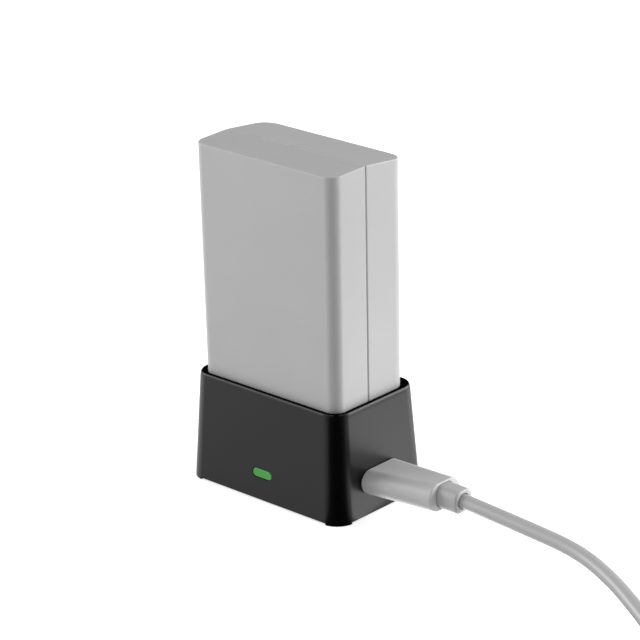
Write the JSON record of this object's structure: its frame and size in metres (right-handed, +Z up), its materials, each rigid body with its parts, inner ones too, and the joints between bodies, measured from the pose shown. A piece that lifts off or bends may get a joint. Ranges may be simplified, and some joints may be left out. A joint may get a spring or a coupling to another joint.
{
  "type": "flash battery charger",
  "caption": "Desk charging dock for a camera flash battery, with the battery pack standing in its well and a USB-C charging cord plugged into the side.",
  "frame": {"origin": "middle of the dock's footprint, on the table it stands on", "axes": "+Z up; +X towards the narrow side with the charging port; the indicator window faces -Y"},
  "size_m": [0.1766, 0.0504, 0.0811],
  "materials": {
    "black_moulding": "satin black moulding",
    "grey_moulding": "fine matt light grey moulding",
    "plug_moulding": "soft-touch light grey overmould",
    "relief_moulding": "soft light grey moulding",
    "cord_jacket": "smooth light grey jacket",
    "tie_strap": "woven strap",
    "window_green": "translucent green light pipe",
    "led_lens": "clear epoxy",
    "screw_steel": "black zinc plate",
    "stamped_steel": "nickel-plated sheet",
    "gold_contact": "thin gold plate",
    "nickel_strip": "rolled nickel",
    "board_green": "solder mask",
    "chip_black": "epoxy case",
    "ferrite": "pressed ferrite",
    "ceramic_tan": "sintered, tinned ends",
    "insert_black": "glass-filled moulding",
    "cell_wrap": "shrink sleeve",
    "insulator_paper": "fish paper",
    "foam": "closed-cell foam"
  },
  "bodies": {
    "root": {"charger_housing": "black_moulding", "base_plate": "black_moulding", "base_screw_1": "screw_steel", "base_screw_2": "screw_steel", "base_screw_3": "screw_steel", "base_screw_4": "screw_steel", "circuit_board": "board_green", "charge_controller": "chip_black", "power_inductor": "ferrite", "input_capacitor": "ceramic_tan", "output_capacitor": "ceramic_tan", "status_led": "led_lens", "led_window": "window_green", "usb_socket_shell": "stamped_steel", "usb_socket_tongue": "insert_black", "contact_carrier": "insert_black", "contact_spring_1": "gold_contact", "contact_spring_2": "gold_contact", "contact_spring_3": "gold_contact", "contact_spring_4": "gold_contact", "pack_front_shell": "grey_moulding", "pack_back_shell": "grey_moulding", "cell_left": "cell_wrap", "cell_right": "cell_wrap", "nickel_strip_top": "nickel_strip", "insulator_card": "insulator_paper", "nickel_tab_left": "nickel_strip", "nickel_tab_right": "nickel_strip", "terminal_plate_1": "gold_contact", "terminal_plate_2": "gold_contact", "terminal_plate_3": "gold_contact", "terminal_plate_4": "gold_contact", "protection_board": "board_green", "foam_pad": "foam", "usb_plug_body": "plug_moulding", "usb_plug_strain_relief": "relief_moulding", "usb_plug_tip": "stamped_steel", "usb_plug_insert": "insert_black", "charging_cord": "cord_jacket", "cord_coil": "cord_jacket", "cord_tie": "tie_strap", "far_plug_body": "plug_moulding", "far_plug_strain_relief": "relief_moulding", "far_plug_tip": "stamped_steel", "far_plug_insert": "insert_black"}
  },
  "joints": []
}
